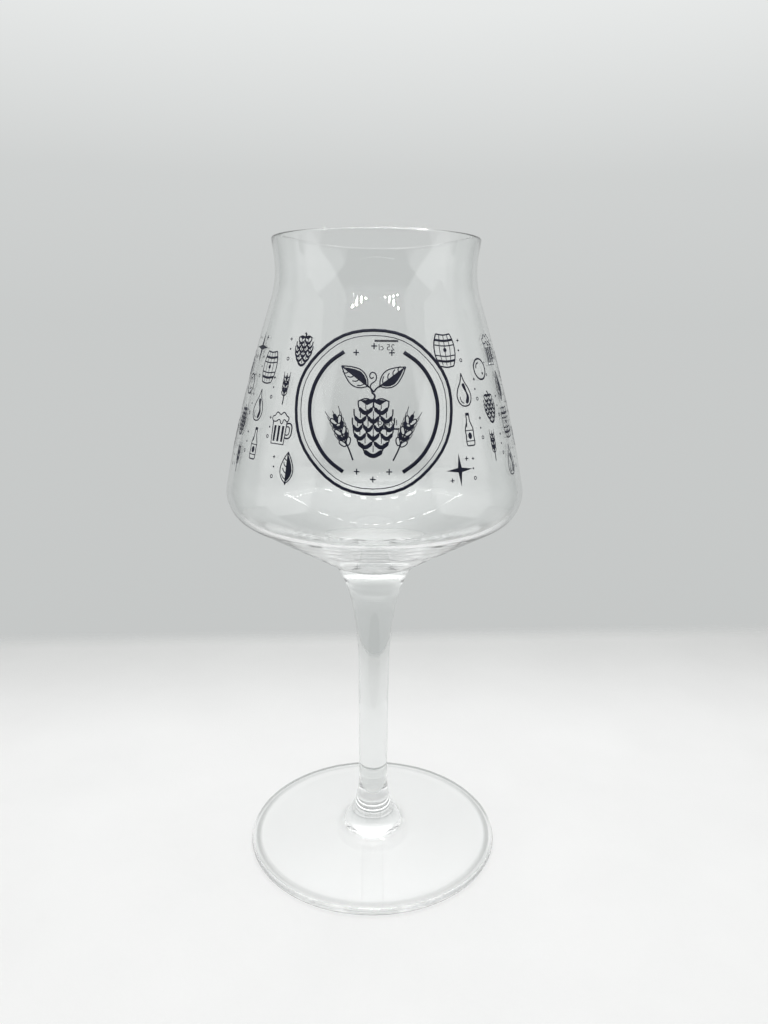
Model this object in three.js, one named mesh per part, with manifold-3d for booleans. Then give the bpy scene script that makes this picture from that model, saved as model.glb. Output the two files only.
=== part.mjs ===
// A stemmed beer tasting glass: a blown bowl, a drawn stem and a pressed foot, welded face to face,
// with fired enamel prints around the bowl. Millimetres, +Z up. The glass stands on z = 0, its axis
// is the Z axis, and the front medallion faces -Y.

import * as THREE from 'three';
import { mergeVertices } from 'three/addons/utils/BufferGeometryUtils.js';
import Module from 'manifold-3d';

// Heights of the three glass pieces, stacked from the table up
const FOOT_HEIGHT = 22;
const STEM_LENGTH = 71;
const BOWL_HEIGHT = 94;

// Bowl, outside
const BOWL_RADIUS = 43.45;
const SHOULDER_CURVE = 10;
const UNDERSIDE_ANGLE = THREE.MathUtils.degToRad(29.7);
const WALL_ANGLE_LOW = THREE.MathUtils.degToRad(11);
const WALL_ANGLE_HIGH = THREE.MathUtils.degToRad(17.8);
const THROAT_RADIUS = 28.15;
const THROAT_CURVE = 26;
const LIP_HEIGHT = 8.4;
const LIP_ANGLE = THREE.MathUtils.degToRad(8);

// Bowl, glass thickness
const LIP_WALL = 1.2;
const SIDE_WALL = 1.4;
const BASE_WALL = 4.6;
const BASE_HOLLOW = 10;

// Stem
const WELD_RADIUS = 12.1;
const STEM_WAIST_RADIUS = 4.75;
const STEM_FOOT_RADIUS = 4.5;
const FLARE_LENGTH = 37;
const FLARE_ANGLE = THREE.MathUtils.degToRad(49);
const FLARE_MOUTH = 5.8;
const FLARE_EASE = 0.58;

// Foot
const FOOT_RADIUS = 39.5;
const FOOT_EDGE = 2.4;
const FOOT_RISE = 2.9;
const BOSS_RADIUS = 13;
const BOSS_SPREAD = 0.52;
const BOSS_EASE = 0.72;
const REST_RING_WIDTH = 4;
const KICK_HEIGHT = 1.8;

// Enamel prints
const FILM_GAP = 0.3;
const FILM_THICKNESS = 0.3;
const PRINT_HEIGHT = 39;
const PRINT_DROP = 1.5;
const RING_STROKE = 0.9;
const ARC_STROKE = 1.1;
const ARC_INSET = 2.4;
const ARC_SWEEP = THREE.MathUtils.degToRad(62);
const EMBLEM_GAP = 1;
const LEAF_LEAN = THREE.MathUtils.degToRad(54);
const BARLEY_LEAN = THREE.MathUtils.degToRad(24);
const SIDE_COLUMNS = 4;
const SIDE_ROWS = 4;
const MEDALLION_GAP = 1.5;
const COLUMN_GAP = 1.1;
const ROW_GAP = 1.6;
const FULL_MARK_DROP = 28.6;
const HALF_MARK_DROP = 58.4;
const MARK_ANGLE = THREE.MathUtils.degToRad(174.5);
const MARK_LENGTH = 10;
const MARK_STROKE = 0.7;

// Facets
const TURN_SEGMENTS = 60;
const SHOULDER_STEPS = 6;
const WALL_STEPS = 6;
const THROAT_STEPS = 4;
const LIP_STEPS = 4;
const BASE_STEPS = 6;
const FLARE_STEPS = 10;
const BOSS_STEPS = 8;
const EDGE_STEPS = 5;
const KICK_STEPS = 4;
const OUTLINE_STEPS = 2;
const BUBBLE_STEPS = 6;
const RING_STEPS = 10;
const WELD_TOLERANCE = 1e-5;

const SIDES = [['left', -1], ['right', 1]];

const wasm = await Module();
wasm.setup();

const glassMaterial = new THREE.MeshStandardMaterial({
  color: 0xf1f5f4, roughness: 0.04, metalness: 0, transparent: true, opacity: 0.35,
});
const enamelMaterial = new THREE.MeshStandardMaterial({ color: 0x191c28, roughness: 0.42, metalness: 0 });

const point = (radius, z) => new THREE.Vector2(radius, z);
const heading = (angle) => new THREE.Vector2(Math.cos(angle), Math.sin(angle));
const along = (start, direction, distance) => start.clone().addScaledVector(direction, distance);

function arcPoints(centre, radius, from, to, steps) {
  const points = [];
  for (let i = 0; i <= steps; i += 1) {
    points.push(along(centre, heading(from + ((to - from) * i) / steps), radius));
  }
  return points;
}

function bezierPoints(a, b, c, d, steps) {
  return new THREE.CubicBezierCurve(a, b, c, d).getPoints(steps);
}

function turned(profile) {
  return new THREE.LatheGeometry(profile, TURN_SEGMENTS).rotateX(Math.PI / 2);
}

// The bowl's frame has z = 0 at the weld. Underside, shoulder, wall, throat and lip run on tangent to
// each other, so one offset moves the whole wall: 0 is the outer face, negative values lie in the glass.
const shoulderEdge = BOWL_RADIUS - SHOULDER_CURVE * (1 - Math.sin(UNDERSIDE_ANGLE));
const shoulderRise = (shoulderEdge - WELD_RADIUS) * Math.tan(UNDERSIDE_ANGLE);
const shoulderCentre = point(
  BOWL_RADIUS - SHOULDER_CURVE,
  shoulderRise + SHOULDER_CURVE * Math.cos(UNDERSIDE_ANGLE),
);
const throatCentre = point(THROAT_RADIUS + THROAT_CURVE, BOWL_HEIGHT - LIP_HEIGHT);
const lipHeading = heading(Math.PI / 2 - LIP_ANGLE);
const rimHeight = BOWL_HEIGHT - LIP_WALL / 2;

function wallEnds(lowOffset, highOffset) {
  return {
    low: along(shoulderCentre, heading(WALL_ANGLE_LOW), SHOULDER_CURVE + lowOffset),
    high: along(throatCentre, heading(Math.PI + WALL_ANGLE_HIGH), THROAT_CURVE - highOffset),
  };
}

function wallProfile(lowOffset, highOffset) {
  const { low, high } = wallEnds(lowOffset, highOffset);
  const handle = low.distanceTo(high) / 3;
  const wall = bezierPoints(
    low,
    along(low, heading(Math.PI / 2 + WALL_ANGLE_LOW), handle),
    along(high, heading(Math.PI / 2 + WALL_ANGLE_HIGH), -handle),
    high,
    WALL_STEPS,
  );
  const underside = UNDERSIDE_ANGLE - Math.PI / 2;
  const shoulder = arcPoints(
    shoulderCentre, SHOULDER_CURVE + lowOffset, underside, WALL_ANGLE_LOW, SHOULDER_STEPS,
  );
  const throat = arcPoints(
    throatCentre, THROAT_CURVE - highOffset, Math.PI + WALL_ANGLE_HIGH, Math.PI - LIP_ANGLE, THROAT_STEPS,
  );
  return [...shoulder, ...wall.slice(1), ...throat.slice(1)];
}

function rimCentre() {
  const start = along(throatCentre, heading(Math.PI - LIP_ANGLE), THROAT_CURVE + LIP_WALL / 2);
  return along(start, lipHeading, (rimHeight - start.y) / lipHeading.y);
}

function bowlGeometry() {
  const outside = wallProfile(0, 0);
  const inside = wallProfile(-SIDE_WALL, -LIP_WALL).reverse();
  const rim = arcPoints(rimCentre(), LIP_WALL / 2, -LIP_ANGLE, Math.PI - LIP_ANGLE, LIP_STEPS);
  const hollowEdge = inside[inside.length - 1];
  const handle = hollowEdge.x / 2;
  const base = bezierPoints(
    hollowEdge,
    along(hollowEdge, heading(UNDERSIDE_ANGLE), -handle),
    point(BASE_HOLLOW, BASE_WALL),
    point(0, BASE_WALL),
    BASE_STEPS,
  );
  return turned([point(0, 0), point(WELD_RADIUS, 0), ...outside, ...rim, ...inside, ...base.slice(1)]);
}

function stemGeometry() {
  const waist = point(STEM_WAIST_RADIUS, STEM_LENGTH - FLARE_LENGTH);
  const mouth = point(WELD_RADIUS, STEM_LENGTH);
  const flare = bezierPoints(
    waist,
    along(waist, heading(Math.PI / 2), FLARE_LENGTH * FLARE_EASE),
    along(mouth, heading(FLARE_ANGLE), -FLARE_MOUTH),
    mouth,
    FLARE_STEPS,
  );
  return turned([point(0, 0), point(STEM_FOOT_RADIUS, 0), ...flare, point(0, STEM_LENGTH)]);
}

function footGeometry() {
  const edgeRadius = FOOT_EDGE / 2;
  const edgeCentre = point(FOOT_RADIUS - edgeRadius, edgeRadius);
  const restInner = edgeCentre.x - REST_RING_WIDTH;
  const kick = new THREE.QuadraticBezierCurve(
    point(0, KICK_HEIGHT), point(restInner / 2, KICK_HEIGHT), point(restInner, 0),
  ).getPoints(KICK_STEPS);
  const edge = arcPoints(edgeCentre, edgeRadius, -Math.PI / 2, Math.PI / 2, EDGE_STEPS);
  const bossStart = point(BOSS_RADIUS, FOOT_EDGE + FOOT_RISE);
  const weld = point(STEM_FOOT_RADIUS, FOOT_HEIGHT);
  const slope = bossStart.clone().sub(edge[EDGE_STEPS]).normalize();
  const boss = bezierPoints(
    bossStart,
    along(bossStart, slope, (BOSS_RADIUS - STEM_FOOT_RADIUS) * BOSS_SPREAD),
    along(weld, heading(-Math.PI / 2), (FOOT_HEIGHT - bossStart.y) * BOSS_EASE),
    weld,
    BOSS_STEPS,
  );
  return turned([...kick, ...edge, ...boss, point(0, FOOT_HEIGHT)]);
}

// Prints: each outline is centred on its own origin, drawn in shares of its own height, and pushed out
// through a thin shell that lies just clear of the bowl's outer face.
function asSolid(geometry) {
  const bare = geometry.clone();
  bare.deleteAttribute('normal');
  bare.deleteAttribute('uv');
  const merged = mergeVertices(bare, WELD_TOLERANCE);
  const vertProperties = new Float32Array(merged.attributes.position.array);
  const triVerts = new Uint32Array(merged.index.array);
  return new wasm.Manifold(new wasm.Mesh({ numProp: 3, vertProperties, triVerts }));
}

function asGeometry(solid) {
  const { vertProperties, triVerts } = solid.getMesh();
  const geometry = new THREE.BufferGeometry();
  geometry.setAttribute('position', new THREE.BufferAttribute(new Float32Array(vertProperties), 3));
  geometry.setIndex(new THREE.BufferAttribute(new Uint32Array(triVerts), 1));
  geometry.computeVertexNormals();
  return geometry;
}

function filmShell() {
  const inner = wallProfile(FILM_GAP, FILM_GAP);
  const outer = wallProfile(FILM_GAP + FILM_THICKNESS, FILM_GAP + FILM_THICKNESS);
  return asSolid(turned([...outer, ...inner.reverse(), outer[0].clone()]));
}

const shell = filmShell();

function filmGeometry(outline, angle, height) {
  const reach = BOWL_RADIUS * 2;
  const options = { depth: reach, bevelEnabled: false, curveSegments: outline.steps ?? OUTLINE_STEPS };
  const stamp = new THREE.ExtrudeGeometry(outline.shape, options);
  stamp.rotateX(Math.PI / 2).translate(0, 0, height).rotateZ(angle);
  return asGeometry(shell.intersect(asSolid(stamp)));
}

function ringOutline(radius, stroke, steps) {
  const shape = new THREE.Shape().absarc(0, 0, radius, 0, Math.PI * 2, false);
  shape.holes.push(new THREE.Path().absarc(0, 0, radius - stroke, 0, Math.PI * 2, true));
  return { shape, steps };
}

function arcOutline(radius, stroke, middle, sweep) {
  const shape = new THREE.Shape();
  shape.absarc(0, 0, radius, middle - sweep, middle + sweep, false);
  shape.absarc(0, 0, radius - stroke, middle + sweep, middle - sweep, true);
  return { shape, steps: RING_STEPS };
}

function barOutline(length, stroke) {
  const shape = new THREE.Shape();
  shape.moveTo(-length / 2, -stroke / 2);
  shape.lineTo(length / 2, -stroke / 2);
  shape.lineTo(length / 2, stroke / 2);
  shape.lineTo(-length / 2, stroke / 2);
  return { shape };
}

// A hop cone hanging tip down, its bracts bulging in rows down each side
function hopOutline(height) {
  const rows = 5;
  const fullness = 0.33 * height;
  const level = (t) => height * (0.5 - t);
  const halfWidth = (t) => fullness * Math.sin(Math.PI * (0.2 + 0.8 * t));
  const shape = new THREE.Shape().moveTo(-halfWidth(0), level(0)).lineTo(halfWidth(0), level(0));
  for (let row = 0; row < rows; row += 1) {
    const end = (row + 1) / rows;
    const bulge = 1.25 * halfWidth((row + 0.5) / rows);
    shape.quadraticCurveTo(bulge, level(end), halfWidth(end), level(end));
  }
  for (let row = rows; row > 0; row -= 1) {
    const bulge = 1.25 * halfWidth((row - 0.5) / rows);
    shape.quadraticCurveTo(-bulge, level(row / rows), -halfWidth((row - 1) / rows), level((row - 1) / rows));
  }
  return { shape };
}

// Stands an outline on a root point, leaning from the vertical
function sprig(outline, height, root, lean) {
  const middle = along(root, heading(Math.PI / 2 - lean), height / 2);
  const place = (p) => p.rotateAround(new THREE.Vector2(), -lean).add(middle);
  return { shape: new THREE.Shape(outline.shape.getPoints(OUTLINE_STEPS).map(place)) };
}

function leafOutline(height) {
  const width = 0.42 * height;
  const shape = new THREE.Shape().moveTo(0, -height / 2);
  shape.bezierCurveTo(width, -height * 0.25, width * 0.7, height * 0.2, 0, height / 2);
  shape.bezierCurveTo(-width * 0.7, height * 0.2, -width, -height * 0.25, 0, -height / 2);
  return { shape };
}

// An ear of barley: kernels step out on both sides of a short stalk
function barleyOutline(height) {
  const kernels = 5;
  const stalk = 0.035 * height;
  const neck = -height * 0.22;
  const rise = (height / 2 - neck) / kernels;
  const reachOf = (i) => height * 0.17 * (1 - (0.6 * i) / kernels);
  const shape = new THREE.Shape().moveTo(-stalk, -height / 2).lineTo(stalk, -height / 2).lineTo(stalk, neck);
  for (let i = 0; i < kernels; i += 1) {
    const foot = neck + i * rise;
    const waist = i === kernels - 1 ? 0 : stalk;
    shape.bezierCurveTo(reachOf(i), foot, reachOf(i), foot + rise * 0.7, waist, foot + rise);
  }
  for (let i = kernels - 1; i >= 0; i -= 1) {
    const foot = neck + i * rise;
    shape.bezierCurveTo(-reachOf(i), foot + rise * 0.7, -reachOf(i), foot, -stalk, foot);
  }
  return { shape };
}

function bubbleOutline(height) {
  return ringOutline(height * 0.32, height * 0.09, BUBBLE_STEPS);
}

function dropOutline(height) {
  const belly = 0.3 * height;
  const shape = new THREE.Shape().moveTo(0, height / 2);
  shape.bezierCurveTo(belly * 0.2, height * 0.2, belly, height * 0.05, belly, belly - height / 2);
  shape.absarc(0, belly - height / 2, belly, 0, -Math.PI, true);
  shape.bezierCurveTo(-belly, height * 0.05, -belly * 0.2, height * 0.2, 0, height / 2);
  return { shape };
}

function sparkleOutline(height) {
  const tips = 4;
  const waist = 0.07 * height;
  const shape = new THREE.Shape().moveTo(height / 2, 0);
  for (let i = 1; i <= tips; i += 1) {
    const middle = heading(((i - 0.5) / tips) * Math.PI * 2).multiplyScalar(waist);
    const tip = heading((i / tips) * Math.PI * 2).multiplyScalar(height / 2);
    shape.quadraticCurveTo(middle.x, middle.y, tip.x, tip.y);
  }
  return { shape };
}

function barrelOutline(height) {
  const head = 0.28 * height;
  const belly = 0.52 * height;
  const shape = new THREE.Shape().moveTo(-head, -height / 2).lineTo(head, -height / 2);
  shape.quadraticCurveTo(belly, 0, head, height / 2).lineTo(-head, height / 2);
  shape.quadraticCurveTo(-belly, 0, -head, -height / 2);
  return { shape };
}

// A mug with a handle and three humps of foam
function mugOutline(height) {
  const humps = 3;
  const half = 0.3 * height;
  const brim = 0.26 * height;
  const foam = (half * 2) / humps;
  const shape = new THREE.Shape().moveTo(-half, -height / 2).lineTo(half, -height / 2);
  shape.lineTo(half, -height * 0.32);
  shape.bezierCurveTo(half * 2.1, -height * 0.32, half * 2.1, height * 0.18, half, height * 0.18);
  shape.lineTo(half, brim);
  for (let i = 0; i < humps; i += 1) {
    shape.quadraticCurveTo(half - (i + 0.5) * foam, height * 0.68, half - (i + 1) * foam, brim);
  }
  const grip = new THREE.Path().moveTo(half, -height * 0.2);
  grip.bezierCurveTo(half * 1.55, -height * 0.2, half * 1.55, height * 0.06, half, height * 0.06);
  shape.holes.push(grip);
  return { shape };
}

function bottleOutline(height) {
  const body = 0.16 * height;
  const neck = 0.065 * height;
  const shape = new THREE.Shape().moveTo(-body, -height / 2).lineTo(body, -height / 2).lineTo(body, 0);
  shape.bezierCurveTo(body, height * 0.16, neck, height * 0.14, neck, height * 0.3).lineTo(neck, height / 2);
  shape.lineTo(-neck, height / 2).lineTo(-neck, height * 0.3);
  shape.bezierCurveTo(-neck, height * 0.14, -body, height * 0.16, -body, 0);
  return { shape };
}

const glass = new THREE.Group();
const bowlFrame = new THREE.Group();
bowlFrame.position.z = FOOT_HEIGHT + STEM_LENGTH;
glass.add(bowlFrame);

function addPiece(parent, name, geometry, material, z = 0) {
  const mesh = new THREE.Mesh(geometry, material.clone());
  mesh.name = name;
  mesh.position.z = z;
  parent.add(mesh);
}

addPiece(glass, 'foot', footGeometry(), glassMaterial);
addPiece(glass, 'stem', stemGeometry(), glassMaterial, FOOT_HEIGHT);
addPiece(bowlFrame, 'bowl', bowlGeometry(), glassMaterial);

function addPrint(name, outline, angle, height) {
  addPiece(bowlFrame, `print_${name}`, filmGeometry(outline, angle, height), enamelMaterial);
}

// The print band lies a little below the middle of the wall, between the shoulder and the throat
const wallSpan = wallEnds(0, 0);
const bandMiddle = (wallSpan.low.y + wallSpan.high.y) / 2 - PRINT_DROP;
const bandRadius = (wallSpan.low.x + wallSpan.high.x) / 2;
const medallionRadius = PRINT_HEIGHT / 2;

// Front medallion: a ring, two arcs inside it, and a hop cone between leaves and barley
const arcRadius = medallionRadius - RING_STROKE - ARC_INSET;
const emblemRadius = arcRadius - ARC_STROKE - EMBLEM_GAP;
const hopHeight = emblemRadius * 1.1;
const hopTop = emblemRadius * 0.34;
const leafHeight = emblemRadius * 0.62;
const barleyHeight = emblemRadius * 0.98;
addPrint('medallion_ring', ringOutline(medallionRadius, RING_STROKE, RING_STEPS * 2), 0, bandMiddle);
addPrint('medallion_hop', hopOutline(hopHeight), 0, bandMiddle + hopTop - hopHeight / 2);
for (const [side, sign] of SIDES) {
  const middle = sign > 0 ? 0 : Math.PI;
  addPrint(`medallion_arc_${side}`, arcOutline(arcRadius, ARC_STROKE, middle, ARC_SWEEP), 0, bandMiddle);
  const leafRoot = point(sign * EMBLEM_GAP, hopTop + EMBLEM_GAP);
  const leaf = sprig(leafOutline(leafHeight), leafHeight, leafRoot, sign * LEAF_LEAN);
  addPrint(`medallion_leaf_${side}`, leaf, 0, bandMiddle);
  const barleyRoot = point(sign * emblemRadius * 0.4, -emblemRadius * 0.8);
  const barley = sprig(barleyOutline(barleyHeight), barleyHeight, barleyRoot, sign * BARLEY_LEAN);
  addPrint(`medallion_barley_${side}`, barley, 0, bandMiddle);
}

// Side prints: staggered columns of small motifs on arcs around the medallion, measured along the wall
const motifs = {
  hop: hopOutline,
  barley: barleyOutline,
  mug: mugOutline,
  leaf: leafOutline,
  barrel: barrelOutline,
  drop: dropOutline,
  bottle: bottleOutline,
  sparkle: sparkleOutline,
  bubble: bubbleOutline,
};
const motifNames = Object.keys(motifs);
const firstMotif = { left: motifNames.indexOf('hop'), right: motifNames.indexOf('barrel') };
const rowPitch = PRINT_HEIGHT / SIDE_ROWS;
const motifHeight = rowPitch - ROW_GAP;
for (const [side, sign] of SIDES) {
  let next = firstMotif[side];
  for (let column = 0; column < SIDE_COLUMNS; column += 1) {
    const reach = medallionRadius + MEDALLION_GAP + motifHeight / 2 + column * (motifHeight + COLUMN_GAP);
    const stagger = column % 2;
    for (let row = 0; row < SIDE_ROWS - stagger; row += 1) {
      const rise = medallionRadius - (row + 0.5 + stagger / 2) * rowPitch;
      const angle = (sign * Math.sqrt(reach ** 2 - rise ** 2)) / bandRadius;
      const motif = motifNames[next % motifNames.length];
      const name = `${side}_${column + 1}_${row + 1}_${motif}`;
      addPrint(name, motifs[motif](motifHeight), angle, bandMiddle + rise);
      next += 1;
    }
  }
}

// Rear fill marks, level lines measured down from the rim
addPrint('fill_mark_full', barOutline(MARK_LENGTH, MARK_STROKE), MARK_ANGLE, BOWL_HEIGHT - FULL_MARK_DROP);
addPrint('fill_mark_half', barOutline(MARK_LENGTH, MARK_STROKE), MARK_ANGLE, BOWL_HEIGHT - HALF_MARK_DROP);

export default glass;
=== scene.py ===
"""Looks of a stemmed beer tasting glass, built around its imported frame.

The bowl, the stem and the foot are spun from their profiles as clear glass, the prints are drawn with a
pen and laid on the bowl as fired enamel, and a pale table with soft light stands round them.
"""

import math

import bmesh
import bpy
from bpy.props import FloatProperty, FloatVectorProperty, PointerProperty
from mathutils import Matrix, Vector
from mathutils.geometry import interpolate_bezier


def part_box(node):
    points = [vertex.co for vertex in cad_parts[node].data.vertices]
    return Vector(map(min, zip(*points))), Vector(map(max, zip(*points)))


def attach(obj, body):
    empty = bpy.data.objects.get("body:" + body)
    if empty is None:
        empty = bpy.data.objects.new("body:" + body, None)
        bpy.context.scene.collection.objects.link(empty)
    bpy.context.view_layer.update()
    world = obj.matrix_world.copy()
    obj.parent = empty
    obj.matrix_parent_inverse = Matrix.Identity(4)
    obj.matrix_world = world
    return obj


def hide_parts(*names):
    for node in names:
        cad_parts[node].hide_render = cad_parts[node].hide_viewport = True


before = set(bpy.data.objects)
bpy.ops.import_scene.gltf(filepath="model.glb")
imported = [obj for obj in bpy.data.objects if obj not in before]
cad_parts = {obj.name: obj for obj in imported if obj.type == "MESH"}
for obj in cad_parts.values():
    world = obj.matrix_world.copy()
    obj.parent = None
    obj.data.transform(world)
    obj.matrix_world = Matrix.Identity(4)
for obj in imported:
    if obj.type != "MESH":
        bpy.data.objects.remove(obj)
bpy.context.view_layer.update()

bl_info = {
    "name": "Tasting Glass",
    "version": (1, 0, 0),
    "blender": (4, 5, 0),
    "location": "View3D > Sidebar > Tasting Glass",
    "description": "Builds a stemmed beer tasting glass with enamel prints, and a table to show it on",
    "category": "Object",
}

MM = 0.001
BODY = "root"
FOOT_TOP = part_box("foot")[1].z
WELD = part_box("bowl")[0].z
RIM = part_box("bowl")[1].z
RIGHT_ANGLE = math.pi / 2
MERGE = 1e-7
TABLE_GAP = 0.05 * MM

TURN_STEPS = 240
ARC_STEPS = 20
BEND_STEPS = 32
PEN_STEPS = 6
OVAL_POINTS = 8
ARC_KNOTS = 4
ARC_SWEEP = math.radians(62)
STRIP_WIDTH = 0.7 * MM
FRONT_BEADS = 11
ROOF_BEADS = 24
RING_BEADS = 34
BEAD_SIDES = (8, 6)

# Noises, each by its scale and detail, and the part of a noise's range that is used
RIPPLES = (60, 1)
HAZE = (90, 3)
ENAMEL_CLOUDS = (700, 2)
ENAMEL_GRAIN = (5000, 2)
CLOTH_CLOUDS = (25, 4)
CLOTH_WEAVE = (1500, 2)
NOISE_MIDDLE = (0.3, 0.7)

# How the waves in the glass are drawn out along X, Y and Z: a smaller number makes them longer
BLOWN_WAVES = (1, 1, 0.35)
DRAWN_WAVES = (2, 2, 0.3)
PRESSED_WAVES = (0.5, 0.5, 0.5)

# Slants of a face to a ray, from 0 for square on to 1 for along it, between which a tint changes
OUTLINE_SLANTS = (0.55, 0.95)
LAMP_SLANTS = (0.3, 0.85)

# Where the foot's tint and its painted edge shadow change, in shares of its radius: out from the axis, and
# in from its round edge
BOSS_FADE = (0.15, 0.27)
RING_SHADOW_FADE = (0.055, 0.032, 0.012, 0.002)

# Surfaces of the glass, the enamel and the cloth, which has painted shade darkening it from near to far and
# fades at its back
HAZE_ROUGHNESS = 0.008
ENAMEL_ROUGHNESS = (0.42, 0.58)
ENAMEL_SPECULAR = 0.12
ENAMEL_TONES = (0.35, 0.7)
GRAIN_SHARE = 0.1
CLOTH_ROUGHNESS = 0.9
CLOTH_SPECULAR = 0.1
CLOTH_SHADE = 0.97
# Painted shade: the colour the cloth darkens to at its back, and where that darkening begins
CLOTH_FAR_SHADE = (0.8, 0.805, 0.8, 1)
FAR_SHADE_START = 0.3
CLOTH_FADE = 12 * MM
WEAVE_DEPTH = 0.05 * MM

# Angles in radians, as low, high and softness: the underside of the foot's round edge, where a contact
# shadow is painted, then turns and rises of what the glass mirrors
PAINTED_SHADOW_UNDER_EDGE = (-1.3, -0.3, 0.2)
PAST_TOP = 9.0
OPENING_TURNS = (-0.85, 0.85, 0.05)
OPENING_RISES = (-0.9, 0.7, 0.03)
PANEL_TURNS = (-1.7, 1.7, 0.1)
PANEL_RISES = (-0.5, 0.9, 0.1)
HIGH_RISES = (0.45, PAST_TOP, 0.08)
OVERHEAD_RISES = (0.95, PAST_TOP, 0.4)

# How the mirrored opening narrows as it rises, and the lights in and round it
OPENING_TAPER = 0.9
OPENING_LIGHT = (0.2, 0.2, 0.205, 1)
PANEL_LIGHT = (1.22, 1.22, 1.22, 1)
HIGH_LIGHT = 0.45
OVERHEAD_LIGHT = 2.0

# Tones of the tent's walls, from straight down at 0 to straight up at 1
WALL_TONES = (
    (0.0, (0.8, 0.8, 0.8, 1)),
    (0.3, (0.56, 0.575, 0.57, 1)),
    (0.5, (0.585, 0.6, 0.595, 1)),
    (0.58, (0.63, 0.645, 0.64, 1)),
    (0.66, (0.8, 0.815, 0.81, 1)),
    (0.8, (0.9, 0.91, 0.905, 1)),
    (1.0, (1.0, 1.0, 1.0, 1)),
)


def length(name, description, default):
    return FloatProperty(
        name=name, description=description, default=default, min=0.0, unit="LENGTH", subtype="DISTANCE"
    )


def angle(name, description, degrees):
    return FloatProperty(
        name=name, description=description, default=math.radians(degrees), unit="ROTATION", subtype="ANGLE"
    )


def factor(name, description, default, highest=1.0):
    return FloatProperty(
        name=name, description=description, default=default, min=0.0, max=highest, subtype="FACTOR"
    )


def colour(name, description, default):
    return FloatVectorProperty(
        name=name, description=description, default=default, size=4, min=0.0, max=1.0, subtype="COLOR"
    )


class BowlSizes(bpy.types.PropertyGroup):
    """Sizes of the blown bowl"""

    radius: length("Radius", "Outer radius at the shoulder", 43.45 * MM)
    shoulder: length("Shoulder curve", "Radius of the round shoulder", 10 * MM)
    underside: angle("Underside", "Slope of the cone under the shoulder", 29.7)
    wall_low: angle("Wall, low", "Lean of the wall where it leaves the shoulder", 11)
    wall_high: angle("Wall, high", "Lean of the wall where it meets the throat", 17.8)
    throat_radius: length("Throat radius", "Outer radius at the narrowest point", 28.15 * MM)
    throat: length("Throat curve", "Radius of the hollow curve at the throat", 26 * MM)
    lip_height: length("Lip height", "Height of the rim above the throat", 8.4 * MM)
    lip_lean: angle("Lip lean", "Outward lean of the lip", 8)
    lip_wall: length("Lip wall", "Glass thickness at the lip", 1.2 * MM)
    side_wall: length("Side wall", "Glass thickness at the shoulder", 1.4 * MM)
    base_wall: length("Base wall", "Glass thickness over the stem", 4.7 * MM)
    base_hollow: length("Base hollow", "Reach of the flat bottom inside", 9 * MM)


class StemSizes(bpy.types.PropertyGroup):
    """Sizes of the drawn stem"""

    weld_radius: length("Weld radius", "Radius where the stem meets the bowl", 12.1 * MM)
    waist_radius: length("Waist radius", "Radius where the flare begins", 4.75 * MM)
    foot_radius: length("Foot radius", "Radius where the stem meets the foot", 4.5 * MM)
    flare: length("Flare length", "Length of the trumpet under the bowl", 37 * MM)
    flare_ease: factor("Flare ease", "Share of the flare that stays nearly straight", 0.58)
    flare_lean: angle("Flare lean", "Slope of the flare at the bowl", 49)
    flare_mouth: length("Flare mouth", "Pull of the flare at the bowl", 5.8 * MM)


class FootSizes(bpy.types.PropertyGroup):
    """Sizes of the pressed foot"""

    radius: length("Radius", "Outer radius of the foot", 39.5 * MM)
    edge: length("Edge", "Thickness of the rounded edge", 2.4 * MM)
    rise: length("Rise", "Climb of the top from the edge to the boss", 2.9 * MM)
    boss: length("Boss radius", "Radius where the boss begins", 13 * MM)
    boss_spread: factor("Boss spread", "Share of the boss that runs on along the foot", 0.52)
    boss_ease: factor("Boss ease", "Share of the boss that runs on down the stem", 0.72)
    rest: length("Resting ring", "Width of the ring that touches the table", 4 * MM)
    kick: length("Kick", "Height of the hollow under the foot", 1.8 * MM)


class GlassLook(bpy.types.PropertyGroup):
    """Look of the clear glass"""

    thin: colour("Thin glass", "Colour that the bowl and the foot give to light", (0.985, 0.993, 0.99, 1.0))
    thick: colour("Thick glass", "Colour that the stem gives to light", (0.9, 0.915, 0.91, 1.0))
    boss: colour("Boss", "Colour of the foot under the stem", (0.77, 0.785, 0.78, 1.0))
    # Painted shadow: the grey band just inside the foot's edge stands in for the shade that the edge casts
    ring: colour("Ring", "Colour of the foot just inside its edge", (0.66, 0.675, 0.67, 1.0))
    edge: colour("Edge", "Colour of the glass where the eye runs along it", (0.5, 0.515, 0.51, 1.0))
    # Painted contact shadow along the underside of the foot's round edge
    under_edge_shadow: colour("Under edge", "Colour of the foot under its round edge", (0.36, 0.37, 0.37, 1.0))
    bend: FloatProperty(name="Refraction", description="Index of refraction", default=1.5, min=1.0, max=2.5)
    ripple: length("Ripple", "Depth of the waves in the surface", 0.012 * MM)
    shade: colour("Shade", "Light that goes on through one face of the glass", (0.99, 0.99, 0.99, 1.0))
    edge_shade: colour("Edge shade", "Light that goes on where it runs along a face", (0.3, 0.3, 0.3, 1.0))


class PrintLook(bpy.types.PropertyGroup):
    """Look of the enamel prints"""

    pen: length("Pen", "Width of a plain line", 0.3 * MM)
    film: length("Film", "Thickness of the enamel over the glass", 0.025 * MM)
    flatness: factor("Flatness", "Height of a line beside its width", 0.12)
    dark: colour("Dark", "Colour where the enamel is thick", (0.006, 0.0075, 0.018, 1.0))
    light: colour("Light", "Colour where the enamel is thin", (0.011, 0.0135, 0.03, 1.0))
    leaf_lean: angle("Leaf lean", "Lean of the leaves over the medallion's hop", 54)
    barley_lean: angle("Barley lean", "Lean of the barley beside the medallion's hop", 24)
    mark: length("Mark", "Length of a fill mark", 8 * MM)
    numeral: length("Numeral", "Size of the numerals at the fill marks", 2.9 * MM)
    numeral_gap: factor("Numeral gap", "Distance from a mark to its numerals, in their sizes", 0.75)


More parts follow.
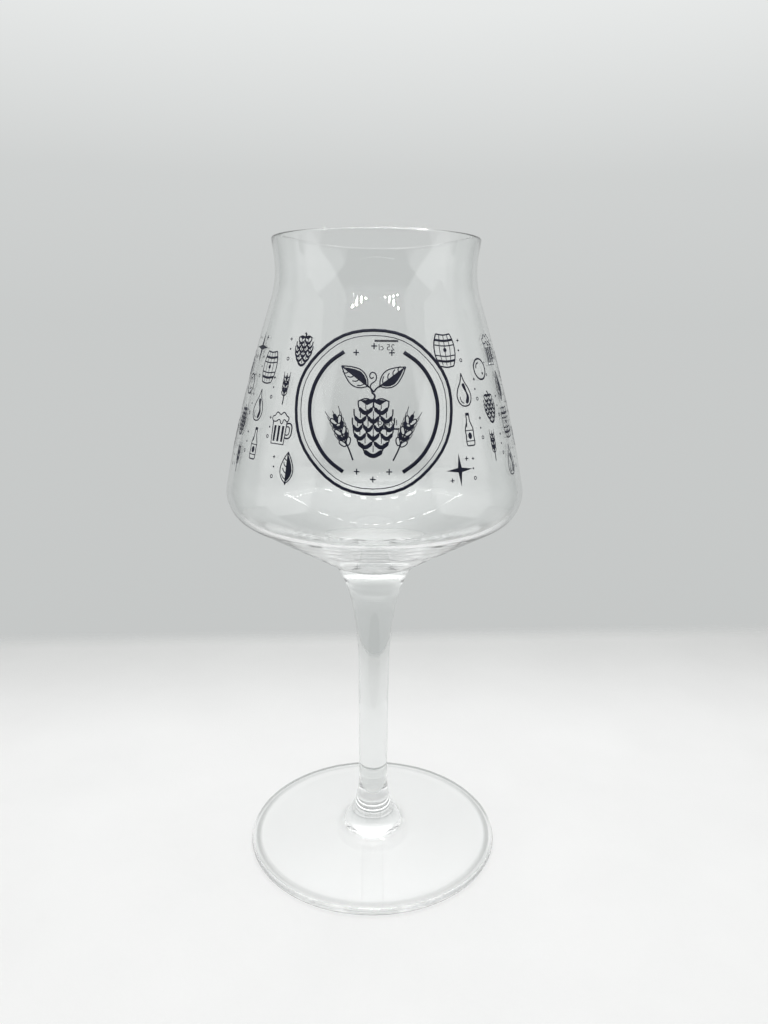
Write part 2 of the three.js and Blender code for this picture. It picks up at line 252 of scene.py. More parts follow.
class StageLook(bpy.types.PropertyGroup):
    """The table, the light and the camera"""

    table: colour("Table", "Colour of the table", (0.9, 0.905, 0.9, 1.0))
    table_size: length("Table size", "Half the width of the pale table", 4.0)
    table_back: length("Table back", "Distance from the glass to the back of the table", 0.168)
    table_front: length("Table front", "Distance to the front of the table, as the glass mirrors it", 0.09)
    table_turn: angle("Table turn", "Turn of the table under the glass", 3.5)
    lamp: FloatProperty(name="Lamp", description="Power of the lamp", default=1.72, unit="POWER")
    lamp_forward: length("Lamp forward", "Distance of the lamp in front of the glass", 0.02)
    lamp_height: length("Lamp height", "Height of the lamp above the table", 0.55)
    lamp_size: length("Lamp size", "Width of the lamp", 0.4)
    bead: length("Bead", "Width of one of the tiny lamps", 2.4 * MM)
    bead_light: FloatProperty(name="Bead light", description="Strength of the tiny lamps", default=300.0)
    bead_height: length("Bead height", "Height of the tiny lamps above the table", 0.247)
    front_distance: length("Front row", "Distance of the front row of tiny lamps", 0.13)
    front_reach: length("Front reach", "Half the length of the front row", 0.055)
    roof_distance: length("Roof row", "Distance of the roof's row of tiny lamps", 0.05)
    roof_reach: length("Roof reach", "Half the length of the roof's row", 0.11)
    ring_distance: length("Ring distance", "Distance of the ring of tiny lamps behind the glass", 0.128)
    ring_radius: length("Ring radius", "Radius of the ring of tiny lamps", 0.03)
    ring_bead: length("Ring bead", "Width of a tiny lamp in the ring", 2.6 * MM)
    ambient: factor("Ambient", "Even light from all round", 0.55)
    camera_distance: length("Camera distance", "Distance of the camera in front of the glass", 0.23254)
    camera_side: length("Camera side", "Distance of the camera to the right of the glass", 0.0028)
    camera_height: length("Camera height", "Height of the camera above the table", 0.16502)
    camera_pitch: angle("Camera pitch", "Downward tilt of the camera", 13.536)
    camera_roll: angle("Camera roll", "Turn of the camera about its own axis", 0.514)
    camera_lens: FloatProperty(name="Lens", description="Focal length", default=27.99, unit="CAMERA")


class TastingGlass(bpy.types.PropertyGroup):
    """All settings of the tasting glass"""

    bowl: PointerProperty(type=BowlSizes)
    stem: PointerProperty(type=StemSizes)
    foot: PointerProperty(type=FootSizes)
    glass: PointerProperty(type=GlassLook)
    prints: PointerProperty(type=PrintLook)
    stage: PointerProperty(type=StageLook)


def ray(turn):
    return Vector((math.cos(turn), math.sin(turn)))


def arc(centre, radius, start, end):
    """Points of an arc in the profile plane."""
    return [centre + ray(start + (end - start) * i / ARC_STEPS) * radius for i in range(ARC_STEPS + 1)]


def bend(start, start_pull, end_pull, end):
    """Points of a curve that leaves start along one pull and comes to end against the other."""
    points = [p.to_3d() for p in (start, start + start_pull, end + end_pull, end)]
    return [p.to_2d() for p in interpolate_bezier(*points, BEND_STEPS + 1)]


def wall_profile(bowl, weld_radius, low, high):
    """Shoulder, wall and throat from the underside up, with the outer face moved by low and high."""
    shoulder_edge = bowl.radius - bowl.shoulder * (1 - math.sin(bowl.underside))
    rise = (shoulder_edge - weld_radius) * math.tan(bowl.underside)
    shoulder = Vector((bowl.radius - bowl.shoulder, WELD + rise + bowl.shoulder * math.cos(bowl.underside)))
    throat = Vector((bowl.throat_radius + bowl.throat, RIM - bowl.lip_height))
    round_shoulder = arc(shoulder, bowl.shoulder + low, bowl.underside - RIGHT_ANGLE, bowl.wall_low)
    drawn_throat = arc(throat, bowl.throat - high, math.pi + bowl.wall_high, math.pi - bowl.lip_lean)
    start, end = round_shoulder[-1], drawn_throat[0]
    pull = (end - start).length / 3
    wall = bend(
        start, ray(RIGHT_ANGLE + bowl.wall_low) * pull, -ray(RIGHT_ANGLE + bowl.wall_high) * pull, end
    )
    return round_shoulder + wall[1:-1] + drawn_throat


def bowl_profile(bowl, weld_radius):
    """The bowl's outline, from the weld up its outside and down its inside to the axis."""
    outside = wall_profile(bowl, weld_radius, 0, 0)
    inside = wall_profile(bowl, weld_radius, -bowl.side_wall, -bowl.lip_wall)
    half = bowl.lip_wall / 2
    lip = ray(RIGHT_ANGLE - bowl.lip_lean)
    middle = (outside[-1] + inside[-1]) / 2
    rim_centre = middle + lip * ((RIM - half - middle.y) / lip.y)
    rim = arc(rim_centre, half, -bowl.lip_lean, math.pi - bowl.lip_lean)
    edge = inside[0]
    floor_height = WELD + bowl.base_wall
    base = bend(
        edge,
        -ray(bowl.underside) * (edge.x / 2),
        Vector((bowl.base_hollow, 0)),
        Vector((0, floor_height)),
    )
    weld = [Vector((0, WELD)), Vector((weld_radius, WELD))]
    return weld + outside + rim + inside[::-1] + base[1:]


def stem_profile(stem):
    """The stem's outline, from the axis at the foot to the axis at the bowl."""
    waist = Vector((stem.waist_radius, WELD - stem.flare))
    mouth = Vector((stem.weld_radius, WELD))
    flare = bend(
        waist, Vector((0, stem.flare * stem.flare_ease)), -ray(stem.flare_lean) * stem.flare_mouth, mouth
    )
    return [Vector((0, FOOT_TOP)), Vector((stem.foot_radius, FOOT_TOP))] + flare + [Vector((0, WELD))]


def foot_profile(foot, stem_radius):
    """The foot's outline, from the axis under it, round its edge and up the boss to the stem."""
    half = foot.edge / 2
    edge_centre = Vector((foot.radius - half, half))
    rest = Vector((edge_centre.x - foot.rest, 0))
    crown = Vector((0, foot.kick))
    kick = bend(crown, Vector((rest.x / 3, 0)), (Vector((rest.x / 2, foot.kick)) - rest) * 2 / 3, rest)
    edge = arc(edge_centre, half, -RIGHT_ANGLE, RIGHT_ANGLE)
    boss_start = Vector((foot.boss, foot.edge + foot.rise))
    weld = Vector((stem_radius, FOOT_TOP))
    slope = (boss_start - edge[-1]).normalized()
    boss = bend(
        boss_start,
        slope * (foot.boss - stem_radius) * foot.boss_spread,
        Vector((0, (boss_start.y - FOOT_TOP) * foot.boss_ease)),
        weld,
    )
    return kick + edge + boss + [Vector((0, FOOT_TOP))]


def feed(tree, made, inputs):
    """Links a node's inputs to sockets, or gives them plain values."""
    for key, value in inputs.items():
        if isinstance(value, bpy.types.NodeSocket):
            tree.links.new(value, made.inputs[key])
        else:
            made.inputs[key].default_value = value


def node(tree, kind, inputs=None, **settings):
    """A new node, with inputs by name or number."""
    made = tree.nodes.new(kind)
    for key, value in settings.items():
        setattr(made, key, value)
    feed(tree, made, inputs or {})
    return made


def fresh_material(name):
    material = bpy.data.materials.new(name)
    material.use_nodes = True
    tree = material.node_tree
    return material, tree, tree.nodes["Principled BSDF"]


def coords(tree):
    """The piece's own coordinates."""
    return node(tree, "ShaderNodeTexCoord").outputs["Object"]


def noise(tree, scale, detail, stretch=(1, 1, 1)):
    """A noise on the piece's own coordinates, drawn out along an axis by a small stretch value."""
    spots = node(tree, "ShaderNodeMapping", {"Vector": coords(tree), "Scale": stretch}).outputs["Vector"]
    made = node(tree, "ShaderNodeTexNoise", {"Vector": spots, "Scale": scale, "Detail": detail})
    return made.outputs["Fac"]


def mapped(tree, source, low, high, start=0.0, end=1.0, smooth=True):
    """Takes the range from low to high to the one from start to end."""
    inputs = {"Value": source, "From Min": low, "From Max": high, "To Min": start, "To Max": end}
    kind = "SMOOTHSTEP" if smooth else "LINEAR"
    return node(tree, "ShaderNodeMapRange", inputs, interpolation_type=kind).outputs["Result"]


def spread(tree, source, low, high):
    """Spreads the middle of a noise over a range."""
    return mapped(tree, source, *NOISE_MIDDLE, low, high, smooth=False)


def bumped(tree, source, depth):
    return node(tree, "ShaderNodeBump", {"Height": source, "Distance": depth}).outputs["Normal"]


def maths(tree, operation, *values):
    """A Math node on sockets and plain numbers."""
    return node(tree, "ShaderNodeMath", dict(enumerate(values)), operation=operation).outputs["Value"]


def between(tree, source, low, high, soft):
    """1 where the source lies between two values, 0 elsewhere, with soft ends."""
    above = mapped(tree, source, low - soft, low + soft)
    below = mapped(tree, source, high + soft, high - soft)
    return maths(tree, "MULTIPLY", above, below)


def ramp(tree, source, places, shades):
    """A colour that runs from shade to shade, each at its place between 0 and 1."""
    made = node(tree, "ShaderNodeValToRGB", {"Fac": source})
    elements = made.color_ramp.elements
    while len(elements) < len(places):
        elements.new(0.5)
    for element, place, shade in zip(elements, places, shades):
        element.position = place
        element.color = shade
    return made.outputs["Color"]


def blended(tree, blend, amount, base, top):
    """Two colours mixed; each is a socket or a plain colour."""
    inputs = {"Factor": amount, 6: base, 7: top}
    return node(tree, "ShaderNodeMix", inputs, data_type="RGBA", blend_type=blend).outputs[2]


def mixed(tree, share, first, second):
    """Two shaders mixed, all of the first where the share is 0."""
    return node(tree, "ShaderNodeMixShader", {0: share, 1: first, 2: second}).outputs["Shader"]


def by_slant(tree, slants, square_on, along):
    """One colour where a face is met square on, another where the ray runs along it."""
    slant = node(tree, "ShaderNodeLayerWeight").outputs["Facing"]
    return ramp(tree, slant, slants, (square_on, along))


def outline_tint(look, tint):
    """Tint of a round piece, darker along its outline."""
    return lambda tree: by_slant(tree, OUTLINE_SLANTS, tint, look.edge)


def foot_tint_and_shadow(look, foot):
    """Tint of the foot, grey in the boss, with painted shadow: a grey band just inside the edge and a dark
    contact shadow along the underside of the edge.
    """

    def tint(tree):
        spots = coords(tree)
        height = node(tree, "ShaderNodeSeparateXYZ", {"Vector": spots}).outputs["Z"]
        flat = node(tree, "ShaderNodeMapping", {"Vector": spots, "Scale": (1, 1, 0)}).outputs["Vector"]
        radius = node(tree, "ShaderNodeVectorMath", {0: flat}, operation="LENGTH").outputs["Value"]
        half = foot.edge / 2
        edge = 1 - half / foot.radius
        # The grey band in from the round edge is painted shadow, laid over the tint
        places = (*BOSS_FADE, *(edge - inward for inward in RING_SHADOW_FADE))
        shades = (look.boss, look.thin, look.thin, look.ring, look.ring, look.thin)
        tint_and_ring_shadow = ramp(tree, maths(tree, "DIVIDE", radius, foot.radius), places, shades)
        # Painted contact shadow: the underside of the round edge is darkened
        outward = maths(tree, "SUBTRACT", radius, foot.radius - half)
        upward = maths(tree, "SUBTRACT", height, half)
        under = between(tree, maths(tree, "ARCTAN2", upward, outward), *PAINTED_SHADOW_UNDER_EDGE)
        return blended(tree, "MULTIPLY", under, tint_and_ring_shadow, look.under_edge_shadow)

    return tint


def passing(tree, rays, shader, passed):
    """Lets one kind of rays go straight through a shader, in the colour that is passed on."""
    through = node(tree, "ShaderNodeBsdfTransparent", {"Color": passed}).outputs["BSDF"]
    return mixed(tree, rays, shader, through)


def clear_glass(name, look, tint, waves, edge_shade):
    """Clear glass with faint waves, stretched the way the piece was drawn, and a breath of haze."""
    material, tree, shader = fresh_material(name)
    feed(tree, shader, {
        "Base Color": tint(tree),
        "Transmission Weight": 1.0,
        "IOR": look.bend,
        "Normal": bumped(tree, noise(tree, *RIPPLES, waves), look.ripple),
        "Roughness": spread(tree, noise(tree, *HAZE), 0.0, HAZE_ROUGHNESS),
    })
    path = node(tree, "ShaderNodeLightPath")
    shown = passing(tree, path.outputs["Is Diffuse Ray"], shader.outputs["BSDF"], look.shade)
    lamp_light = by_slant(tree, LAMP_SLANTS, look.shade, edge_shade)
    shown = passing(tree, path.outputs["Is Shadow Ray"], shown, lamp_light)
    feed(tree, tree.nodes["Material Output"], {"Surface": shown})
    return material


def fused_weld():
    """The faces where two pieces of glass are melted together: light goes straight on."""
    material, tree, shader = fresh_material("fused_weld")
    tree.nodes.remove(shader)
    clear = node(tree, "ShaderNodeBsdfTransparent").outputs["BSDF"]
    feed(tree, tree.nodes["Material Output"], {"Surface": clear})
    return material


def fired_enamel(look):
    """Blue-black enamel, a little uneven in depth and gloss."""
    material, tree, shader = fresh_material("fired_enamel")
    grain = noise(tree, *ENAMEL_GRAIN)
    feed(tree, shader, {
        "Base Color": ramp(tree, noise(tree, *ENAMEL_CLOUDS), ENAMEL_TONES, (look.dark, look.light)),
        "Roughness": spread(tree, grain, *ENAMEL_ROUGHNESS),
        "Specular IOR Level": ENAMEL_SPECULAR,
        "Normal": bumped(tree, grain, look.film * GRAIN_SHARE),
    })
    return material


def shared(name, make, *settings):
    """The material of this name, made when it is first asked for."""
    return bpy.data.materials.get(name) or make(*settings)


def placed(name, bm, materials):
    """Makes an object from a finished bmesh."""
    mesh = bpy.data.meshes.new(name)
    bm.to_mesh(mesh)
    bm.free()
    for material in materials:
        mesh.materials.append(material)
    piece = bpy.data.objects.new(name, mesh)
    bpy.context.scene.collection.objects.link(piece)
    return piece


def spun(name, profile, welds, materials):
    """Spins a profile round the Z axis. Flat faces at the weld heights get the second material."""
    bm = bmesh.new()
    verts = [bm.verts.new((p.x, 0, p.y)) for p in profile]
    edges = [bm.edges.new(pair) for pair in zip(verts, verts[1:])]
    bmesh.ops.spin(
        bm, geom=verts + edges, cent=(0, 0, 0), axis=(0, 0, 1), angle=2 * math.pi, steps=TURN_STEPS,
        use_merge=True,
    )
    bmesh.ops.remove_doubles(bm, verts=bm.verts, dist=MERGE)
    bmesh.ops.recalc_face_normals(bm, faces=bm.faces)
    for face in bm.faces:
        face.smooth = True
        heights = [v.co.z for v in face.verts]
        if any(max(abs(z - weld) for z in heights) < MERGE for weld in welds):
            face.material_index = 1
    for edge in bm.edges:
        kinds = {face.material_index for face in edge.link_faces}
        edge.smooth = len(kinds) == 1
    return placed(name, bm, materials)


def glass_piece(node_name, profile, welds, glass):
    name = f"glass_{node_name}"
    piece = spun(name, profile, welds, [glass, shared("fused_weld", fused_weld)])
    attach(piece, BODY)
    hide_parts(node_name)


class TASTINGGLASS_OT_bowl(bpy.types.Operator):
    """Spin the blown bowl from its profile"""

    bl_idname = "tasting_glass.bowl"
    bl_label = "Bowl"

    def execute(self, context):
        glass = context.scene.tasting_glass
        look = glass.glass
        clear = clear_glass("blown_glass", look, outline_tint(look, look.thin), BLOWN_WAVES, look.shade)
        glass_piece("bowl", bowl_profile(glass.bowl, glass.stem.weld_radius), [WELD], clear)
        return {"FINISHED"}


class TASTINGGLASS_OT_stem(bpy.types.Operator):
    """Spin the drawn stem from its profile"""

    bl_idname = "tasting_glass.stem"
    bl_label = "Stem"

    def execute(self, context):
        glass = context.scene.tasting_glass
        look = glass.glass
        clear = clear_glass("drawn_glass", look, outline_tint(look, look.thick), DRAWN_WAVES, look.shade)
        glass_piece("stem", stem_profile(glass.stem), [FOOT_TOP, WELD], clear)
        return {"FINISHED"}


class TASTINGGLASS_OT_foot(bpy.types.Operator):
    """Spin the pressed foot from its profile"""

    bl_idname = "tasting_glass.foot"
    bl_label = "Foot"

    def execute(self, context):
        glass = context.scene.tasting_glass
        look = glass.glass
        # The foot's tint holds painted shadow at its edge
        tint = foot_tint_and_shadow(look, glass.foot)
        clear = clear_glass("pressed_glass", look, tint, PRESSED_WAVES, look.edge_shade)
        glass_piece("foot", foot_profile(glass.foot, glass.stem.foot_radius), [FOOT_TOP], clear)
        return {"FINISHED"}


def mirrored(points):
    return [(-x, y) for x, y in points]


def oval(x, y, width, height):
    """Points round a small oval."""
    rounds = [ray(2 * math.pi * i / OVAL_POINTS) for i in range(OVAL_POINTS)]
    return [tuple(Vector((x, y)) + Vector((p.x * width / 2, p.y * height / 2))) for p in rounds]


def cross(x, y, arm, weight):
    """Marks of a small upright cross."""
    return [
        ("line", weight, [(x - arm, y), (x + arm, y)]),
        ("line", weight, [(x, y - arm), (x, y + arm)]),
    ]


# Each drawing is a list of marks in shares of its own height: how the pen moves, how heavy it is, and its
# points. A line is open, a loop is closed and a patch is filled, all of them smooth. An edge is an open
# line and a block a filled patch, both with straight sides and corners.
def hop_marks():
    """A hop cone hanging tip down, scale under scale."""
    marks = [
        ("line", 1.6, [(0.0, 0.38), (0.02, 0.44), (-0.03, 0.5)]),
        ("line", 1.1, [(-0.24, 0.36), (-0.12, 0.4), (0.0, 0.37), (0.12, 0.4), (0.24, 0.36)]),
        ("block", 1.0, [(-0.21, 0.37), (0.0, 0.4), (0.21, 0.37), (0.1, 0.3), (0.0, 0.35), (-0.1, 0.3)]),
    ]
    rows = (2, 3, 4, 3, 2, 1)
    for row, count in enumerate(rows):
        top = 0.37 - 0.13 * row
        half = 0.33 * math.sin(math.pi * (0.26 + 0.115 * row))
        width = 2 * half / count
        for i in range(count):
            x = -half + (i + 0.5) * width
            scale = [
                (x - width / 2, top), (x - width * 0.44, top - 0.11), (x, top - 0.21),
                (x + width * 0.44, top - 0.11), (x + width / 2, top),
            ]
            marks.append(("line", 1.1, scale))
            marks.append(("patch", 1.0, [scale[1], scale[2], scale[3], (x, top - 0.155)]))
            marks.append(("line", 0.7, [(x, top - 0.03), (x, top - 0.13)]))
    return marks


def barley_marks():
    """An ear of barley with its kernels in pairs and its long awns."""
    marks = [("line", 1.3, [(0.0, -0.5), (0.01, -0.3), (0.0, 0.0), (0.0, 0.2)])]
    for step in range(5):
        y = -0.2 + 0.11 * step
        kernel = [(0.015, y), (0.085, y + 0.03), (0.1, y + 0.13), (0.035, y + 0.09)]
        awn = [(0.1, y + 0.13), (0.13, y + 0.22), (0.14, y + 0.3)]
        for side in (kernel, mirrored(kernel)):
            marks.append(("patch" if step % 2 else "loop", 1.0, side))
        for side in (awn, mirrored(awn)):
            marks.append(("line", 0.6, side))
    marks.append(("patch", 1.0, [(0.0, 0.26), (0.04, 0.34), (0.0, 0.44), (-0.04, 0.34)]))
    marks.append(("line", 0.6, [(0.0, 0.42), (0.0, 0.5)]))
    return marks


def mug_marks():
    """A handled mug with a head of foam."""
    foam = [
        (-0.32, 0.2), (-0.36, 0.3), (-0.25, 0.36), (-0.16, 0.46), (0.0, 0.4), (0.12, 0.47), (0.25, 0.38),
        (0.35, 0.31), (0.3, 0.2), (0.16, 0.25), (0.08, 0.12), (-0.04, 0.24), (-0.18, 0.18),
    ]
    marks = [
        ("edge", 1.3, [(-0.3, 0.2), (-0.27, -0.5), (0.27, -0.5), (0.3, 0.2)]),
        ("loop", 1.0, foam),
        ("line", 1.3, [(0.3, 0.14), (0.46, 0.14), (0.53, -0.06), (0.46, -0.28), (0.28, -0.3)]),
        ("line", 1.0, [(0.3, 0.05), (0.4, 0.04), (0.44, -0.07), (0.4, -0.19), (0.28, -0.2)]),
    ]
    for x in (-0.17, 0.0, 0.17):
        flute = [(x - 0.04, -0.42), (x + 0.04, -0.42), (x + 0.045, 0.06), (x - 0.045, 0.06)]
        marks.append(("block", 1.0, flute))
    return marks


def leaf_marks():
    """A leaf, dark on one side of its rib and veined on the other."""
    side = [(0.0, -0.46), (0.17, -0.3), (0.25, -0.06), (0.17, 0.22), (0.0, 0.5)]
    marks = [
        ("line", 1.0, mirrored(side)),
        ("line", 1.0, side),
        ("line", 1.4, [(0.0, -0.5), (0.0, 0.0), (0.0, 0.46)]),
        ("block", 1.0, [
            (0.02, -0.4), (0.11, -0.32), (0.18, -0.2), (0.21, -0.06), (0.17, 0.1), (0.1, 0.26), (0.02, 0.4),
        ]),
    ]
    for step in range(4):
        y = -0.34 + 0.19 * step
        marks.append(("line", 0.9, [(0.0, y), (-0.1, y + 0.06), (-0.17 + 0.02 * step, y + 0.15)]))
    return marks


def barrel_marks():
    """A cask with its hoops, staves and bung."""
    side = [(0.27, -0.5), (0.37, -0.25), (0.4, 0.0), (0.37, 0.25), (0.27, 0.5)]
    marks = [("line", 1.2, side), ("line", 1.2, mirrored(side))]
    for y, half, weight in ((-0.5, 0.27, 1.2), (-0.32, 0.35, 2.0), (-0.16, 0.385, 1.0)):
        for level in (y, -y):
            marks.append(("line", weight, [(-half, level), (0.0, level - 0.035), (half, level)]))
    for x in (-0.2, 0.0, 0.2):
        marks.append(("line", 0.7, [(x * 0.75, -0.48), (x, -0.1), (x, 0.08), (x * 0.75, 0.48)]))
    marks.append(("patch", 1.0, oval(0.0, 0.0, 0.13, 0.13)))
    return marks


def drop_marks():
    """A drop with a light in it."""
    side = [(0.0, 0.5), (0.08, 0.26), (0.24, 0.0), (0.29, -0.24), (0.17, -0.45), (0.0, -0.5)]
    return [
        ("line", 1.2, side),
        ("line", 1.2, mirrored(side)),
        ("patch", 1.0, [(0.0, 0.2), (0.14, -0.06), (0.2, -0.26), (0.06, -0.42), (0.1, -0.16)]),
        ("line", 0.9, [(-0.18, -0.2), (-0.15, -0.34), (-0.05, -0.41)]),
    ]


def bottle_marks():
    """A capped bottle with a bare label."""
    side = [
        (0.06, 0.42), (0.065, 0.26), (0.12, 0.12), (0.16, 0.02), (0.16, -0.2), (0.16, -0.46), (0.13, -0.5),
    ]
    return [
        ("line", 1.2, side),
        ("line", 1.2, mirrored(side)),
        ("edge", 1.2, [(-0.13, -0.5), (0.13, -0.5)]),
        ("block", 1.0, [(-0.08, 0.41), (0.08, 0.41), (0.075, 0.5), (-0.075, 0.5)]),
        ("edge", 0.9, [(-0.16, -0.04), (0.16, -0.04)]),
        ("edge", 0.9, [(-0.16, -0.36), (0.16, -0.36)]),
        ("patch", 1.0, oval(0.0, -0.2, 0.16, 0.2)),
        ("line", 0.8, [(-0.06, 0.2), (-0.08, 0.12), (-0.1, 0.06)]),
    ]


def sparkle_marks():
    """A four-pointed star among smaller lights."""
    star = []
    for i in range(4):
        star.append(tuple(ray(RIGHT_ANGLE * i) * 0.5))
        star.append(tuple(ray(RIGHT_ANGLE * (i + 0.5)) * 0.1))
    marks = [("block", 1.0, star)]
    for x, y in ((0.3, 0.32), (-0.32, -0.3)):
        marks += cross(x, y, 0.07, 0.9)
    return marks


def bubble_marks():
    """A round bubble with a light in it."""
    return [
        ("loop", 1.6, oval(0.0, 0.0, 0.94, 0.94)),
        ("line", 1.3, [(-0.3, 0.04), (-0.22, 0.22), (-0.04, 0.3)]),
        ("patch", 1.0, oval(0.17, -0.2, 0.12, 0.12)),
    ]


def ring_marks():
    """The medallion's rim: a heavy ring with a fine one inside it, and small crosses above and below."""
    marks = [
        ("loop", 2.6, oval(0.0, 0.0, 0.978, 0.978)),
        ("loop", 0.7, oval(0.0, 0.0, 0.915, 0.915)),
    ]
    for x, y in ((0.0, 0.395), (-0.11, 0.355), (0.11, 0.355), (0.0, -0.4), (-0.1, -0.355), (0.1, -0.355)):
        marks += cross(x, y, 0.018, 1.0)
    return marks


def arc_marks(side):
    """A heavy arc inside the medallion's rim."""
    spots = [ray(ARC_SWEEP * (i / ARC_KNOTS - 1)) for i in range(2 * ARC_KNOTS + 1)]
    return [("line", 3.2, [(side * p.x, p.y) for p in spots])]


DRAWINGS = {
    "hop": hop_marks,
    "barley": barley_marks,
    "mug": mug_marks,
    "leaf": leaf_marks,
    "barrel": barrel_marks,
    "drop": drop_marks,
    "bottle": bottle_marks,
    "sparkle": sparkle_marks,
    "bubble": bubble_marks,
}
FILLED = ("patch", "block")
CLOSED = FILLED + ("loop",)
CORNERED = ("edge", "block")


def redrawn(marks, move):
    """The marks with each of their points moved."""
    return [(kind, weight, [move(Vector(p)) for p in points]) for kind, weight, points in marks]


def fitted(marks, lean, centre, height):
    """Turns the marks clockwise by the lean, then fits them into the height round a centre."""
    spin = Matrix.Rotation(-lean, 2)
    turned = redrawn(marks, lambda p: spin @ p)
    spots = [p for mark in turned for p in mark[2]]
    low = Vector((min(p.x for p in spots), min(p.y for p in spots)))
    high = Vector((max(p.x for p in spots), max(p.y for p in spots)))
    scale = height / (high.y - low.y)
    middle = (low + high) / 2
    return redrawn(turned, lambda p: centre + (p - middle) * scale)


def set_round(marks, centre, height):
    """Marks beside a drawing, in shares of its height from its centre."""
    return redrawn(marks, lambda p: centre + p * height)


def sprig_marks():
    """The stalks of the leaves over a hop, and a tendril between them."""
    stalk = [(0.0, 0.5), (0.05, 0.56), (0.11, 0.6)]
    tendril = [
        (-0.03, 0.5), (-0.05, 0.6), (0.04, 0.7), (0.0, 0.8), (-0.06, 0.77), (-0.04, 0.71), (0.0, 0.73),
    ]
    return [("line", 1.3, stalk), ("line", 1.3, mirrored(stalk)), ("line", 1.0, tendril)]


def confetti_marks(side):
    """A small cross, a dot and a ring in the gap on the outer side of a motif."""
    across = side * 0.57
    return [
        *cross(across, 0.3, 0.05, 0.8),
        ("patch", 1.0, oval(across * 0.95, 0.0, 0.06, 0.06)),
        ("loop", 0.8, oval(across * 1.03, -0.3, 0.09, 0.09)),
    ]


def flat_curve(name, look, filled):
    """An empty curve: a thin sheet that fills its outlines, or a round pen line."""
    curve = bpy.data.curves.new(name, "CURVE")
    curve.resolution_u = PEN_STEPS
    if filled:
        curve.dimensions = "2D"
        curve.fill_mode = "BOTH"
        curve.extrude = look.film
    else:
        curve.dimensions = "3D"
        curve.twist_mode = "Z_UP"
        curve.bevel_depth = look.pen / 2
        curve.bevel_resolution = 1
        curve.use_fill_caps = True
    return curve


def numeral_curve(body, look):
    """Numerals as a thin sheet."""
    numerals = bpy.data.curves.new("numerals", "FONT")
    numerals.body = body
    numerals.size = look.numeral
    numerals.align_x = "CENTER"
    numerals.align_y = "CENTER"
    numerals.extrude = look.film
    return numerals


def trace(curve, mark):
    kind, weight, points = mark
    spline = curve.splines.new("BEZIER")
    spline.bezier_points.add(len(points) - 1)
    spline.use_cyclic_u = kind in CLOSED
    handle = "VECTOR" if kind in CORNERED else "AUTO"
    for knot, point in zip(spline.bezier_points, points):
        knot.co = point.to_3d()
        knot.radius = weight
        knot.handle_left_type = handle
        knot.handle_right_type = handle


def add_curve(bm, curve):
    """Adds a curve's faces to a bmesh, and returns their vertices."""
    holder = bpy.data.objects.new(curve.name, curve)
    bpy.context.scene.collection.objects.link(holder)
    shown = holder.evaluated_get(bpy.context.evaluated_depsgraph_get())
    mesh = bpy.data.meshes.new_from_object(shown)
    already = set(bm.verts)
    bm.from_mesh(mesh)
    bpy.data.objects.remove(holder)
    bpy.data.curves.remove(curve)
    bpy.data.meshes.remove(mesh)
    return [v for v in bm.verts if v not in already]


def cut_strips(bm):
    """Cuts wide patches into upright strips, so that they can follow the wall round."""
    bmesh.ops.remove_doubles(bm, verts=bm.verts, dist=MERGE)
    reach = [v.co.x for v in bm.verts]
    for i in range(1, math.ceil((max(reach) - min(reach)) / STRIP_WIDTH)):
        bmesh.ops.bisect_plane(
            bm,
            geom=bm.verts[:] + bm.edges[:] + bm.faces[:],
            dist=MERGE,
            plane_co=(min(reach) + i * STRIP_WIDTH, 0, 0),
            plane_no=(1, 0, 0),
        )
    bmesh.ops.dissolve_degenerate(bm, dist=MERGE, edges=bm.edges)


def inked(marks, look):
    """Draws marks as flat enamel, facing +Z: patches, and lines that are closed and pressed flat."""
    bm = bmesh.new()
    patches = flat_curve("patches", look, True)
    lines = flat_curve("lines", look, False)
    for mark in marks:
        trace(patches if mark[0] in FILLED else lines, mark)
    add_curve(bm, patches)
    if bm.verts:
        cut_strips(bm)
    drawn = add_curve(bm, lines)
    bmesh.ops.remove_doubles(bm, verts=drawn, dist=MERGE)
    drawn = [v for v in drawn if v.is_valid]
    bmesh.ops.scale(bm, vec=(1, 1, look.flatness), verts=drawn)
    return bm


def wall_radius(glass):
    """The bowl's outer radius as a function of height, from the shoulder to the lip."""
    points = wall_profile(glass.bowl, glass.stem.weld_radius, 0, 0)

    def at(height):
        for low, high in zip(points, points[1:]):
            if low.y <= height <= high.y:
                return low.x + (high.x - low.x) * (height - low.y) / max(high.y - low.y, MERGE)
        raise ValueError(f"a print reaches off the wall, to {height:.4f} m")

    return at


def plot(node_name, turn):
    """Centre and height of a print's node, seen square on from a turn round the glass."""
    face_on = Matrix.Rotation(-turn, 3, "Z")
    spots = [face_on @ v.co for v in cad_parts[node_name].data.vertices]
    across = [p.x for p in spots]
    upright = [p.z for p in spots]
    centre = Vector(((min(across) + max(across)) / 2, (min(upright) + max(upright)) / 2))
    return centre, max(upright) - min(upright)


def facing(node_name):
    """The turn round the glass at which a print's node faces the eye."""
    low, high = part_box(node_name)
    return math.atan2(low.x + high.x, -low.y - high.y)


def lay_print(glass, node_name, bm, turn):
    """Lays flat enamel on the bowl: X runs across, Y up the glass and Z out of the wall."""
    bmesh.ops.recalc_face_normals(bm, faces=bm.faces)
    radius_at = wall_radius(glass)
    for v in bm.verts:
        radius = radius_at(v.co.y) + v.co.z
        v.co = (v.co.x, -math.sqrt(radius ** 2 - v.co.x ** 2), v.co.y)
    bmesh.ops.rotate(bm, cent=(0, 0, 0), matrix=Matrix.Rotation(turn, 3, "Z"), verts=bm.verts)
    enamel = shared("fired_enamel", fired_enamel, glass.prints)
    piece = placed(node_name.replace("print", "enamel"), bm, [enamel])
    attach(piece, BODY)
    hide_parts(node_name)


